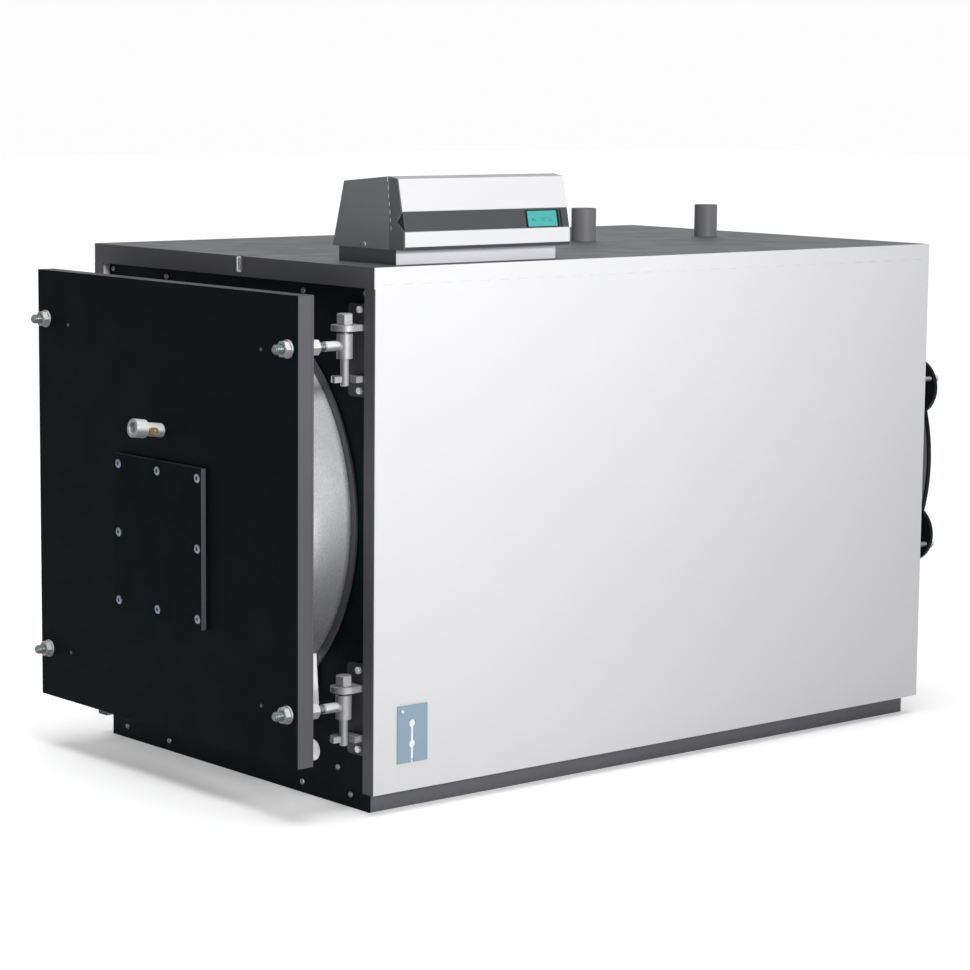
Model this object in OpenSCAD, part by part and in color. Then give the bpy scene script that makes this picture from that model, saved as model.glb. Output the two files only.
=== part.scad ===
// Horizontal packaged shell boiler with a hinged burner door.
// Reversing-flame furnace, smoke-tube bundle, sheet-metal casing and a control console.
// Origin: on the floor, in the middle of the casing. +Y runs from the door to the flue, +Z up.

/* [Casing] */
// Width across the side panels
casing_w = 1000; // [990:5:1060]
// Length from the front flange to the rear panel
casing_l = 1620; // [1500:10:1800]
// Height of the top cover above the floor
casing_h = 1100; // [1090:2:1110]
// Thickness of the casing sheets
sheet_t = 2; // [1.5:0.5:2.5]
// Height of the plinth tray
plinth_h = 43; // [38:1:48]
// Inset of the plinth from the sides, equal to the width of the front flanges
flange_w = 33; // [31:1:36]
// Depth of the recess between the front flanges and the front plate
recess_d = 18; // [14:1:22]

/* [Boiler body] */
// Height of the boiler's axis above the floor
axis_z = 583; // [578:1:588]
// Outer radius of the shell and of the front ring
shell_r = 410; // [404:1:412]
// Thickness of the shell and furnace plates
plate_t = 8; // [6:1:10]
// Reach of the front ring in front of the front flanges
ring_reach = 120; // [116:1:121]
// Inner radius of the furnace tube
furnace_r = 214; // [200:1:220]
// Outside diameter of a smoke tube
tube_d = 51; // [44.5:0.5:51]
// Outside diameter of the flue spigot
flue_d = 250; // [200:10:300]

/* [Pipe stubs] */
// Outside diameter of the supply pipe
supply_d = 57; // [48.3, 54, 57, 60.3]
// Outside diameter of the return pipe
return_d = 54; // [48.3, 54, 57, 60.3]
// Height of the pipe stubs above the top cover
stub_h = 75; // [50:5:120]

/* [Door] */
// Width of the door
door_w = 938; // [930:1:944]
// Height of the door
door_h = 934; // [926:2:940]
// Thickness of the door
door_t = 40; // [38:1:44]
// Distance of the door's back face from the front flanges
door_gap = 125; // [125:1:128]
// Half the spacing of the tie rods across the door
rod_x = 438; // [434:1:440]
// Half the spacing of the tie rods up the door
rod_dz = 362; // [356:1:366]
// Diameter of the tie rods
rod_d = 20; // [18:1:20]
// Diameter of the hinge pins
pin_d = 17; // [14:0.5:17]
// Radial running clearance of the hinge pins
pin_gap = 0.08; // [0.05:0.01:0.1]

/* [Console] */
// Length of the console's hood
hood_l = 438; // [420:2:460]
// Distance of the console's front end behind the front flanges
hood_y = 80; // [70:1:100]

/* [Hidden] */

// planes along Y
flange_y = -casing_l / 2;
plate_y = flange_y + recess_d;
rear_y = casing_l / 2;
door_back_y = flange_y - door_gap;
door_front_y = door_back_y - door_t;
ring_y = flange_y - ring_reach;
front_tube_y = flange_y + 20;
rear_tube_y = rear_y - 70;
half_w = casing_w / 2;
plate_half = half_w - flange_w;
fascia_z = casing_h - 42;
bore_r = shell_r - plate_t;

// furnace and smoke tubes
furnace_z = axis_z - 130;
furnace_or = furnace_r + 6;
furnace_end_y = rear_y - 330;
tube_r = tube_d / 2;
tube_bore_r = tube_r - 3.2;
tube_rows = [[350, -20, 10, 23], [284, 14, 12.667, 13]];   // radius, first angle, step, count

// supply and return stubs: x, y, outside diameter; below the cover a pipe is thinner by neck_step
pipes = [[-10, flange_y + 1009, supply_d], [-12, flange_y + 1402, return_d]];
neck_step = 1;
pipe_wall = 3.2;

// door furniture
pin_y = flange_y - 26;
pin_r = pin_d / 2;
eye_r = 16;
neck_end = 17;               // distance of the eye's flat end from the pin's axis
rod_tip_y = flange_y - 199;
nut_af = 30;
collar_r = 18.5;            // collar of a nut, against the door
lug_top_z = 29;              // underside of the upper lug above the rod's axis
lug_low_z = -73;             // underside of the lower lug
lug_t = 12;
lug_r = 27;
head_h = 22;                 // hexagon head of a hinge pin
burner_w = 320;
burner_h = 332;
burner_z = 516;
burner_t = 12;
burner_screw_r = 10.5;
burner_y = door_front_y - burner_t;
burner_screw_dx = 144;
burner_screw_dz = 145;
sight_z = 744.3;             // centre of the sight tube on the door's front
sight_l = 71;
sight_tilt = 7.5;            // the tube looks down into the furnace
sight_r = 14.5;
sight_gap = 0.2;             // clearance of the tube in the door
rope_t = door_gap - ring_reach;
plug_t = 55;                 // thickness of the refractory plug

// drain stub: place in the front plate and radius
drain_x = 279;
drain_z = 97;
drain_r = 22;
gusset_l = 60;               // depth of the plates under the front ring

// rear smokebox
cover_y = rear_y + 80;
cover_t = 10;
flue_t = 3;
flue_l = 100;
cover_r = 446;
box_r = cover_r - 4;
box_t = 5;
ear_r = 68;
ear_c = 428;                 // distance of an ear's centre from the boiler's axis
ear_a = 24;
stud_x = 443;
stud_dz = 196;
stud_r = 6;

// console profile, seen along +Y: x, and z above the top cover
base_top = 30;
floor_t = 6.5;
hood_base = base_top + floor_t;
hood_face = [[296, 162], [440, 175], [468, 170.5], [481.5, 107.5], [465, 86.5], [490.5, 66]];
hood_outline = concat([[259, hood_base]], hood_face, [[491, hood_base]]);
end_outline = concat([[259, base_top]], hood_face, [[491, base_top]]);
hood_inside = [[262.5, hood_base], [299, 158], [440, 171], [464.5, 167], [477, 108.4], [460, 86.5],
    [486.3, 64.3], [487.5, hood_base]];
end_t = 3;                   // thickness of an end cap
strip_low = [489.8, 67.2];   // lower and upper edge of the display strip's face
strip_high = [481.3, 106.3];
strip_dir = (strip_high - strip_low) / norm(strip_high - strip_low);
dash_high = [437, 168];      // first and last of the slots in an end cap
dash_low = [449, 73];
dash_count = 7;
hood_front_y = flange_y + hood_y;
hood_rear_y = hood_front_y + hood_l;
seam_x = 45;                 // joint of the two halves of the top cover

steel = [0.72, 0.73, 0.75];
zinc = [0.86, 0.87, 0.88];
white = [0.93, 0.93, 0.94];
dark_grey = [0.27, 0.27, 0.29];
black = [0.07, 0.08, 0.09];

// ---------- helpers ----------

// cylinder along +Y from y0 to y1
module y_cyl(r, y0, y1, x = 0, z = 0) {
    translate([x, y0, z]) rotate([-90, 0, 0]) cylinder(h = y1 - y0, r = r, $fn = 64);
}

// tube along +Y
module y_tube(ro, ri, y0, y1, x = 0, z = 0) {
    difference() {
        y_cyl(ro, y0, y1, x, z);
        y_cyl(ri, y0 - 1, y1 + 1, x, z);
    }
}

// block between two corners
module block(a, b) {
    translate(a) cube(b - a);
}

// rounded rectangle in the XZ plane, extruded from y0 to y1
module y_plate(w, h, r, y0, y1, x = 0, z = 0) {
    difference() {
        block([x - w / 2, y0, z - h / 2], [x + w / 2, y1, z + h / 2]);
        for (sx = [-1, 1], sz = [-1, 1])
            translate([x + sx * w / 2, 0, z + sz * h / 2]) difference() {
                block([-r, y0 - 1, -r], [r, y1 + 1, r]);
                y_cyl(r, y0 - 2, y1 + 2, -sx * r, -sz * r);
            }
    }
}

// hexagon along +Y with the given width across flats, two of its edges level with its axis
module y_hex(af, y0, y1, x = 0, z = 0) {
    translate([x, y0, z]) rotate([-90, 0, 0])
        cylinder(h = y1 - y0, r = af / 2 / cos(30), $fn = 6);
}

// places its children at the four tie rods
module at_rods(xs = [-1, 1]) {
    for (sx = xs, sz = [-1, 1]) translate([sx * rod_x, 0, axis_z + sz * rod_dz]) children();
}

// row of shallow grooves that marks a folded seam, along Y in a face towards +X
module seam_grooves(y0, y1) {
    for (y = [y0 : 50 : y1]) block([-0.8, y, -1.25], [2, y + 24, 1.25]);
}

// position of each smoke tube in the XZ plane, from the boiler's axis
tube_xz = [for (row = tube_rows, i = [0 : row[3] - 1])
    let (a = row[1] + i * row[2]) [row[0] * cos(a), row[0] * sin(a)]];

// ---------- casing ----------

// folded plinth tray with the two saddles that carry the shell
module base_frame() {
    color(dark_grey) {
        difference() {
            block([-plate_half, plate_y + 3, 0], [plate_half, rear_y - 15, plinth_h]);
            block([-plate_half + 4, plate_y + 7, 4], [plate_half - 4, rear_y - 19, plinth_h + 1]);
        }
        for (y = [flange_y + 300, rear_y - 420]) difference() {
            block([-380, y, 4], [380, y + 12, axis_z - 200]);
            y_cyl(shell_r, y - 1, y + 13, 0, axis_z);
        }
    }
}

// black front plate that runs down to the floor, with the hole for the shell
module front_plate() {
    color(black) difference() {
        block([-plate_half, plate_y, 0], [plate_half, plate_y + 3, casing_h - sheet_t]);
        y_cyl(shell_r, plate_y - 1, plate_y + 4, 0, axis_z);
        y_cyl(drain_r, plate_y - 1, plate_y + 4, drain_x, drain_z);
    }
}

// rear panel with the hole for the smokebox
module rear_plate() {
    color(dark_grey) difference() {
        block([-half_w + sheet_t, rear_y - sheet_t, plinth_h],
            [half_w - sheet_t, rear_y, casing_h - sheet_t]);
        y_cyl(box_r, rear_y - 4, rear_y + 1, 0, axis_z);
    }
}

// right-hand side panel: side sheet, bottom return, front flange and its return to the front plate
module side_panel(cable_opening = false) {
    color(white) difference() {
        union() {
            block([half_w - sheet_t, flange_y, plinth_h], [half_w, rear_y, casing_h]);
            block([plate_half, flange_y + sheet_t, plinth_h],
                [half_w, rear_y - sheet_t, plinth_h + sheet_t]);
            block([plate_half - 6, plate_y + 3, plinth_h],
                [half_w, rear_y - sheet_t, plinth_h + sheet_t]);
            block([plate_half, flange_y + sheet_t, plinth_h], [half_w, flange_y + 2 * sheet_t, fascia_z]);
            block([plate_half, flange_y + sheet_t, plinth_h], [plate_half + sheet_t, plate_y, fascia_z]);
        }
        translate([half_w, 0, casing_h - 34]) seam_grooves(flange_y + 20, rear_y - 40);
        block([plate_half - 1, flange_y - 1, plinth_h - 1], [half_w + 1, flange_y + sheet_t, fascia_z]);
        if (cable_opening) block([half_w - 3, flange_y + 68, 106], [half_w + 1, flange_y + 132, 212]);
    }
}

module side_panel_right() side_panel(cable_opening = true);

module side_panel_left() mirror([1, 0, 0]) side_panel();

// dark trim strips on the front flanges
module corner_trims() {
    color(dark_grey) for (m = [0, 1]) mirror([m, 0, 0])
        block([plate_half, flange_y, plinth_h], [half_w, flange_y + sheet_t, fascia_z]);
}

// one half of the top cover, with its part of the fascia; x0 < x1
module top_cover(x0, x1, notch_x) {
    color(dark_grey) difference() {
        union() {
            block([x0, flange_y, casing_h - sheet_t], [x1, rear_y, casing_h]);
            block([x0, flange_y, fascia_z], [x1, flange_y + sheet_t, casing_h]);
            block([x0, flange_y, fascia_z], [x1, plate_y, fascia_z + sheet_t]);
        }
        block([notch_x - 8, flange_y - 1, casing_h - 33], [notch_x + 8, flange_y + 10, casing_h + 1]);
        translate([notch_x, 0, casing_h]) rotate([0, -90, 0])
            seam_grooves(flange_y + 20, rear_y - 40);
        pipe_holes(casing_h - 5, 10, 1);
    }
}

// holes for the two pipes from height z0, with a gap round each pipe
module pipe_holes(z0, h, gap) {
    for (p = pipes) translate([p[0], p[1], z0]) cylinder(h = h, r = p[2] / 2 + gap, $fn = 64);
}

module top_cover_left() top_cover(-half_w + sheet_t, seam_x - 0.5, seam_x);

module top_cover_right() top_cover(seam_x + 0.5, half_w - sheet_t, seam_x);

// white edge protector in the notch of the fascia
module notch_grommet() {
    color(white) difference() {
        block([seam_x - 8, flange_y, casing_h - 33], [seam_x + 8, flange_y + 10, casing_h - sheet_t]);
        block([seam_x - 6.5, flange_y - 1, casing_h - 31.5], [seam_x + 6.5, flange_y + 11, casing_h + 1]);
    }
}

// round-headed screws of the front plate, the side panel and the cable plate
module panel_screws() {
    color(zinc) {
        for (s = [-1, 1], p = [[245, 1040], [243, 23], [407, 27]])
            translate([s * p[0], plate_y, p[1]]) rotate([90, 0, 0]) cylinder(h = 4, r = 6, $fn = 32);
        for (s = [-1, 1])
            translate([s * 450, plate_y, 1046]) rotate([90, 0, 0]) cylinder(h = 4, r = 6, $fn = 32);
        translate([364, plate_y, 76]) rotate([90, 0, 0]) cylinder(h = 4, r = 6, $fn = 32);
        translate([half_w + 2.5, flange_y + 73, 206]) rotate([0, 90, 0])
            cylinder(h = 2, r = 4, $fn = 32);
    }
}

// cable entry plate on the right-hand side, with its keyhole-shaped slot
module cable_plate() {
    color([0.57, 0.65, 0.75]) difference() {
        block([half_w, flange_y + 61, 100], [half_w + 2.5, flange_y + 139, 218]);
        cable_slot(0);
    }
}

module cable_slot(shrink) {
    for (z = [138, 180]) translate([half_w - 1, flange_y + 100, z]) rotate([0, 90, 0])
        cylinder(h = 5, r = 8 - shrink, $fn = 48);
    block([half_w - 1, flange_y + 96.5 + shrink, 99], [half_w + 4, flange_y + 103.5 - shrink, 180]);
}

// white membrane behind the slot
module cable_membrane() {
    color(white) block([half_w - 1.5, flange_y + 69, 107], [half_w, flange_y + 131, 211]);
}

// ---------- boiler body ----------

// outer shell between the tube plates
module pressure_shell() {
    color(steel) difference() {
        y_tube(shell_r, bore_r, plate_y + 6, rear_tube_y, 0, axis_z);
        pipe_holes(axis_z + 300, 200, -neck_step);
    }
}

// polished ring that carries the door's seal
module front_ring() {
    color([0.8, 0.81, 0.83]) y_tube(shell_r, bore_r, ring_y, plate_y + 6, 0, axis_z);
}

// dark collar round the ring on the front plate
module shell_collar() {
    color([0.37, 0.37, 0.39]) y_tube(shell_r + 17, shell_r, plate_y - 6, plate_y, 0, axis_z);
}

module front_tube_plate() {
    color(steel) difference() {
        y_cyl(bore_r, front_tube_y, front_tube_y + 12, 0, axis_z);
        y_cyl(furnace_or, front_tube_y - 1, front_tube_y + 13, 0, furnace_z);
        for (p = tube_xz) y_cyl(tube_r, front_tube_y - 1, front_tube_y + 13, p[0], axis_z + p[1]);
    }
}

module rear_tube_plate() {
    color(steel) difference() {
        y_cyl(bore_r, rear_tube_y - 12, rear_tube_y, 0, axis_z);
        for (p = tube_xz) y_cyl(tube_r, rear_tube_y - 13, rear_tube_y + 1, p[0], axis_z + p[1]);
    }
}

// furnace tube, closed by a plate at its rear end
module furnace_tube() {
    color(steel) {
        difference() {
            y_cyl(furnace_or, front_tube_y, furnace_end_y, 0, furnace_z);
            y_cyl(furnace_r, front_tube_y - 1, furnace_end_y - 10, 0, furnace_z);
        }
    }
}

module smoke_tubes() {
    color(steel) for (p = tube_xz)
        y_tube(tube_r, tube_bore_r, front_tube_y, rear_tube_y, p[0], axis_z + p[1]);
}

// folded strips that slow the flue gas in the tubes
module turbulators() {
    strip_l = 1200;
    fold = 200;
    amp = 19;
    folds = strip_l / fold;
    zig = [for (i = [0 : folds]) [(i % 2 == 0 ? -1 : 1) * amp, i * fold]];
    zag = [for (i = [folds : -1 : 0]) [(i % 2 == 0 ? -1 : 1) * amp + 2, i * fold]];
    color([0.55, 0.5, 0.47]) for (p = tube_xz)
        translate([p[0] - 1, front_tube_y + 14, axis_z + p[1] - 8])
            linear_extrude(16) polygon(concat(zig, zag));
}

// mineral-wool jacket round the shell
module insulation_jacket() {
    color([0.85, 0.78, 0.5]) difference() {
        y_tube(shell_r + 55, shell_r, plate_y + 40, rear_tube_y - 40, 0, axis_z);
        pipe_holes(axis_z + 300, 200, -neck_step);
        for (y = [flange_y + 300, rear_y - 420])
            block([-385, y - 2, 0], [385, y + 14, axis_z - 195]);
    }
}

// pipe from the shell up through the top cover, full size above the cover
module pipe_stub(p) {
    z0 = axis_z + sqrt(bore_r * bore_r - p[0] * p[0]) - 6;
    r = p[2] / 2;
    translate([p[0], p[1], 0]) difference() {
        union() {
            translate([0, 0, z0]) cylinder(h = casing_h - z0, r = r - neck_step, $fn = 64);
            translate([0, 0, casing_h]) cylinder(h = stub_h, r = r, $fn = 64);
        }
        translate([0, 0, z0 - 1]) cylinder(h = casing_h + stub_h - z0 + 2, r = r - pipe_wall, $fn = 64);
    }
}

module supply_pipe() color([0.4, 0.4, 0.42]) pipe_stub(pipes[0]);

module return_pipe() color([0.4, 0.4, 0.42]) pipe_stub(pipes[1]);

// drain stub in the lower right of the front plate, closed by its plug
module drain_stub() {
    color(white) y_cyl(drain_r, plate_y - 30, plate_y + 60, drain_x, drain_z);
}

// upright support plates under the front ring, one each side
module ring_gussets() {
    color(white) for (m = [0, 1]) mirror([m, 0, 0]) difference() {
        translate([0, plate_y - 7, 0]) rotate([90, 0, 0])
            linear_extrude(gusset_l) polygon([[290, 340], [296, 340], [308, 198], [302, 198]]);
        y_cyl(shell_r, plate_y - 8 - gusset_l, plate_y, 0, axis_z);
    }
}

// ---------- rear smokebox ----------

module smokebox() {
    color([0.3, 0.3, 0.32]) difference() {
        y_cyl(box_r, rear_tube_y, cover_y, 0, axis_z);
        y_cyl(box_r - box_t, rear_tube_y + box_t, cover_y + 1, 0, axis_z);
        y_cyl(shell_r - 30, rear_tube_y - 1, rear_tube_y + box_t + 1, 0, axis_z);
    }
}

// round smokebox cover with four clamped ears
module smokebox_cover() {
    color(black) difference() {
        union() {
            y_cyl(cover_r, cover_y, cover_y + cover_t, 0, axis_z);
            for (a = [-1, 1], s = [-1, 1])
                y_cyl(ear_r, cover_y, cover_y + cover_t,
                    s * ear_c * cos(ear_a), axis_z + a * ear_c * sin(ear_a));
        }
        y_cyl(flue_d / 2 - flue_t, cover_y - 1, cover_y + cover_t + 1, 0, axis_z);
        at_studs() y_cyl(stud_r, cover_y - 1, cover_y + cover_t + 1);
    }
}

// places its children at the four studs
module at_studs() {
    for (a = [-1, 1], s = [-1, 1]) translate([s * stud_x, 0, axis_z + a * stud_dz]) children();
}

// studs and nuts that clamp the smokebox cover to the rear panel
module smokebox_studs() {
    color(zinc) at_studs() {
        y_cyl(stud_r, rear_y, cover_y + cover_t + 16);
        y_hex(19, cover_y + cover_t, cover_y + cover_t + 9);
    }
}

module flue_spigot() {
    y0 = cover_y + cover_t;
    color(black) y_tube(flue_d / 2, flue_d / 2 - flue_t, y0, y0 + flue_l, 0, axis_z);
}

// ---------- hinges ----------

// one hinge bracket at the origin of a tie rod, for a right-hand corner; the lower lug is
// a hook that is open to the side
module hinge_bracket() {
    base_y = plate_y - 10;
    hole_r = pin_r + pin_gap;
    color([0.5, 0.5, 0.52]) difference() {
        union() {
            y_plate(60, 185, 10, base_y, plate_y, -3, -11.5);
            for (z = [lug_top_z, lug_low_z]) hull() {
                translate([0, pin_y, z]) cylinder(h = lug_t, r = lug_r, $fn = 48);
                block([-32, base_y - 2, z], [22, base_y, z + lug_t]);
            }
        }
        translate([0, pin_y, lug_low_z - 1]) cylinder(h = 200, r = hole_r, $fn = 48);
        block([0, pin_y - hole_r, lug_low_z - 1], [40, pin_y + hole_r, lug_low_z + lug_t + 1]);
        block([3, pin_y - 30, lug_low_z - 1], [40, pin_y, lug_low_z + lug_t + 1]);
    }
}

module hinge_brackets() {
    at_rods([1]) hinge_bracket();
    at_rods([-1]) mirror([1, 0, 0]) hinge_bracket();
}

module hinge_bolts() {
    color(zinc) for (m = [0, 1]) mirror([m, 0, 0]) at_rods([1]) for (z = [70, -91])
        y_hex(13, plate_y - 17, plate_y - 10, 8, z);
}

// hinge pin with its hexagon head, from the tie rod's height
module hinge_pin() {
    color([0.62, 0.62, 0.64]) {
        translate([0, pin_y, lug_low_z - 8])
            cylinder(h = lug_top_z + lug_t - lug_low_z + 8, r = pin_r, $fn = 48);
        translate([0, pin_y, lug_top_z + lug_t]) rotate([0, 0, 20])
            cylinder(h = head_h, r = 17.5, $fn = 6);
    }
}

module pin_at(sx, sz) translate([sx * rod_x, 0, axis_z + sz * rod_dz]) hinge_pin();

module pin_upper_right() pin_at(1, 1);

module pin_lower_right() pin_at(1, -1);

module pin_upper_left() pin_at(-1, 1);

module pin_lower_left() pin_at(-1, -1);

// eye of a tie rod: sleeve on the pin with a flat seat for the rod's end
module rod_eye() {
    color([0.6, 0.6, 0.62]) difference() {
        union() {
            translate([0, pin_y, -26]) cylinder(h = 49, r = eye_r, $fn = 48);
            y_cyl(rod_d / 2, pin_y - neck_end, pin_y, 0, 0);
        }
        translate([0, pin_y, -27]) cylinder(h = 51, r = pin_r + pin_gap, $fn = 48);
    }
}

module eyes_right() at_rods([1]) rod_eye();

module eyes_left() at_rods([-1]) rod_eye();

module tie_rods() {
    color(zinc) at_rods() y_cyl(rod_d / 2, rod_tip_y, pin_y - neck_end, 0, 0);
}

// nuts with a collar, in front of and behind the door on each tie rod
module rod_nuts() {
    color(zinc) at_rods() difference() {
        union() {
            y_hex(nut_af, door_front_y - 16, door_front_y - 4, 0, 0);
            y_cyl(collar_r, door_front_y - 4, door_front_y, 0, 0);
            y_cyl(collar_r, door_back_y, door_back_y + 6, 0, 0);
            y_hex(nut_af, door_back_y + 6, door_back_y + 30, 0, 0);
        }
        y_cyl(rod_d / 2, rod_tip_y, pin_y, 0, 0);
    }
}

// ---------- door ----------

// four edge bars that close the door's sides
module door_frame() {
    t = 3;
    color([0.41, 0.4, 0.42]) for (s = [-1, 1]) {
        block([-door_w / 2, door_front_y + 2, axis_z + s * (door_h / 2 - t / 2) - t / 2],
            [door_w / 2, door_back_y - 6, axis_z + s * (door_h / 2 - t / 2) + t / 2]);
        block([s * (door_w / 2 - t / 2) - t / 2, door_front_y + 2, axis_z - door_h / 2 + t],
            [s * (door_w / 2 - t / 2) + t / 2, door_back_y - 6, axis_z + door_h / 2 - t]);
    }
}

module door_holes(y0, y1) {
    at_rods() y_cyl(rod_d / 2, y0, y1, 0, 0);
    at_sight() y_cyl(sight_r + sight_gap, -5, door_t + 5);
}

module door_sheet() {
    color(black) difference() {
        block([-door_w / 2, door_front_y, axis_z - door_h / 2],
            [door_w / 2, door_front_y + 2, axis_z + door_h / 2]);
        door_holes(door_front_y - 1, door_front_y + 3);
    }
}

module door_plate() {
    color([0.2, 0.2, 0.21]) difference() {
        block([-door_w / 2, door_back_y - 6, axis_z - door_h / 2],
            [door_w / 2, door_back_y, axis_z + door_h / 2]);
        door_holes(door_back_y - 7, door_back_y + 1);
    }
}

module door_insulation() {
    color([0.9, 0.88, 0.8]) difference() {
        block([-door_w / 2 + 3, door_front_y + 2, axis_z - door_h / 2 + 3],
            [door_w / 2 - 3, door_back_y - 6, axis_z + door_h / 2 - 3]);
        door_holes(door_front_y, door_back_y);
    }
}

// moulded refractory that plugs the mouth of the ring
module door_refractory() {
    color([0.82, 0.76, 0.66]) difference() {
        y_cyl(340, door_back_y, door_back_y + plug_t, 0, axis_z);
        at_sight() y_cyl(sight_r + sight_gap, door_t - 8, door_t + plug_t + 8);
    }
}

// sealing rope that the ring's edge presses on
module door_rope() {
    color([0.9, 0.9, 0.87]) y_tube(shell_r + 5, bore_r - 5, door_back_y, door_back_y + rope_t, 0, axis_z);
}

module screw_grid() {
    for (dx = [-1, 0, 1], dz = [-1, 0, 1]) if (dx != 0 || dz != 0)
        translate([dx * burner_screw_dx, 0, burner_z + dz * burner_screw_dz]) children();
}

// blanking plate over the burner opening
module burner_plate() {
    color(black) difference() {
        block([-burner_w / 2, burner_y, burner_z - burner_h / 2],
            [burner_w / 2, door_front_y, burner_z + burner_h / 2]);
        screw_grid() y_cyl(burner_screw_r + 0.5, burner_y - 1, burner_y + 6, 0, 0);
    }
}

module burner_screws() {
    color(zinc) screw_grid() y_cyl(burner_screw_r, burner_y, burner_y + 6, 0, 0);
}

// places its children on the tilted axis of the sight tube, from the door's front
module at_sight() {
    translate([0, door_front_y, sight_z]) rotate([-sight_tilt, 0, 0]) children();
}

module sight_tube() {
    color(zinc) at_sight() y_tube(sight_r, 9, -48, door_t + plug_t);
}

// screwed cap with its window
module sight_cap() {
    color(zinc) at_sight() difference() {
        y_cyl(19.5, -sight_l, -42);
        y_cyl(sight_r, -48, -41);
        y_cyl(12, -sight_l - 1, -47);
    }
}

module sight_glass() {
    color([0.75, 0.85, 0.9]) at_sight() y_cyl(12, -60, -55);
}

// brass boss for cooling air on the side of the sight tube, with its bore near the door
module sight_nipple() {
    boss_r = 7;
    color([0.7, 0.45, 0.2]) at_sight() difference() {
        hull() for (y = [-33, -25]) translate([9, y, -2]) rotate([0, 90, 0])
            cylinder(h = 9, r = boss_r, $fn = 48);
        y_cyl(sight_r, -45, 0);
        translate([10, -25, -2]) rotate([0, 90, 0]) cylinder(h = 12, r = 3.5, $fn = 48);
    }
}

// ---------- console ----------

// tray that stands on the top cover
module console_base() {
    color([0.84, 0.84, 0.88]) difference() {
        block([270, hood_front_y + 8, casing_h], [456, hood_rear_y - 8, casing_h + base_top]);
        block([272, hood_front_y + 10, casing_h + 2], [454, hood_rear_y - 10, casing_h + base_top + 1]);
    }
}

// dark floor pan that closes the hood from below
module console_floor() {
    color(dark_grey) block([259, hood_front_y + end_t, casing_h + base_top],
        [491, hood_rear_y, casing_h + hood_base]);
}

// an outline of the console's profile, extruded from y0 to y1
module hood_run(points, y0, y1, inset = 0) {
    translate([0, y1, casing_h]) rotate([90, 0, 0]) linear_extrude(y1 - y0)
        offset(delta = -inset) polygon(points);
}

// folded skin with the groove for the display strip
module console_hood() {
    color(white) difference() {
        hood_run(hood_outline, hood_front_y + end_t, hood_rear_y);
        hood_run(hood_inside, hood_front_y, hood_rear_y + 1);
    }
}

// end cap with a row of slots; the first slot runs out at the top edge
module console_end(points, y0, inset = 0) {
    color([0.35, 0.36, 0.37]) difference() {
        hood_run(points, y0, y0 + end_t, inset);
        for (i = [0 : dash_count - 1])
            let (p = dash_high + (dash_low - dash_high) * i / (dash_count - 1))
                block([p[0] - 1, y0 - 1, casing_h + p[1] - 4.5],
                    [p[0] + 1, y0 + end_t + 1, casing_h + p[1] + (i == 0 ? 10 : 4.5)]);
    }
}

module console_end_front() console_end(end_outline, hood_front_y);

// the rear cap sits inside the folded skin
module console_end_rear() console_end(hood_inside, hood_rear_y - end_t, 0.2);

// point on the strip's profile: up its face from the lower edge, and proud of the face
function on_strip(up, proud) = strip_low + up * strip_dir + proud * [strip_dir[1], -strip_dir[0]];

// dark display strip in the groove of the hood
module display_fascia() {
    color([0.36, 0.36, 0.38]) difference() {
        hood_run([[465.6, 86.5], strip_low, strip_high],
            hood_front_y + end_t, hood_rear_y - 1);
        display_lens();
    }
}

module display_lens() {
    low = 2.3;
    high = 34.6;
    color([0.27, 0.76, 0.74])
        hood_run([on_strip(low, -0.7), on_strip(low, 0.3), on_strip(high, 0.3), on_strip(high, -0.7)],
            flange_y + 406.5, flange_y + 485.5);
}

// circuit board and terminal strip inside the console
module console_board() {
    z0 = casing_h + hood_base;
    color([0.1, 0.35, 0.2]) {
        block([275, hood_front_y + 60, z0], [435, hood_front_y + 380, z0 + 2]);
        block([285, hood_front_y + 80, z0 + 2], [305, hood_front_y + 360, z0 + 18]);
    }
}

// one screw in each end cap
module console_screws() {
    z = casing_h + hood_base + 1;
    color(zinc) {
        translate([364, hood_front_y, z]) rotate([90, 0, 0]) cylinder(h = 2.5, r = 5, $fn = 32);
        translate([364, hood_rear_y, z]) rotate([-90, 0, 0]) cylinder(h = 2.5, r = 5, $fn = 32);
    }
}

base_frame();
front_plate();
rear_plate();
side_panel_left();
side_panel_right();
corner_trims();
top_cover_left();
top_cover_right();
notch_grommet();
panel_screws();
cable_plate();
cable_membrane();
pressure_shell();
front_ring();
shell_collar();
front_tube_plate();
rear_tube_plate();
furnace_tube();
smoke_tubes();
turbulators();
insulation_jacket();
supply_pipe();
return_pipe();
drain_stub();
ring_gussets();
smokebox();
smokebox_cover();
smokebox_studs();
flue_spigot();
hinge_brackets();
hinge_bolts();
pin_upper_right();
pin_lower_right();
pin_upper_left();
pin_lower_left();
eyes_right();
eyes_left();
tie_rods();
rod_nuts();
door_frame();
door_sheet();
door_plate();
door_insulation();
door_refractory();
door_rope();
burner_plate();
burner_screws();
sight_tube();
sight_cap();
sight_glass();
sight_nipple();
console_base();
console_hood();
console_end_front();
console_end_rear();
console_floor();
display_fascia();
display_lens();
console_board();
console_screws();
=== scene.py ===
import math

import bpy
from mathutils import Matrix, Vector


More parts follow.
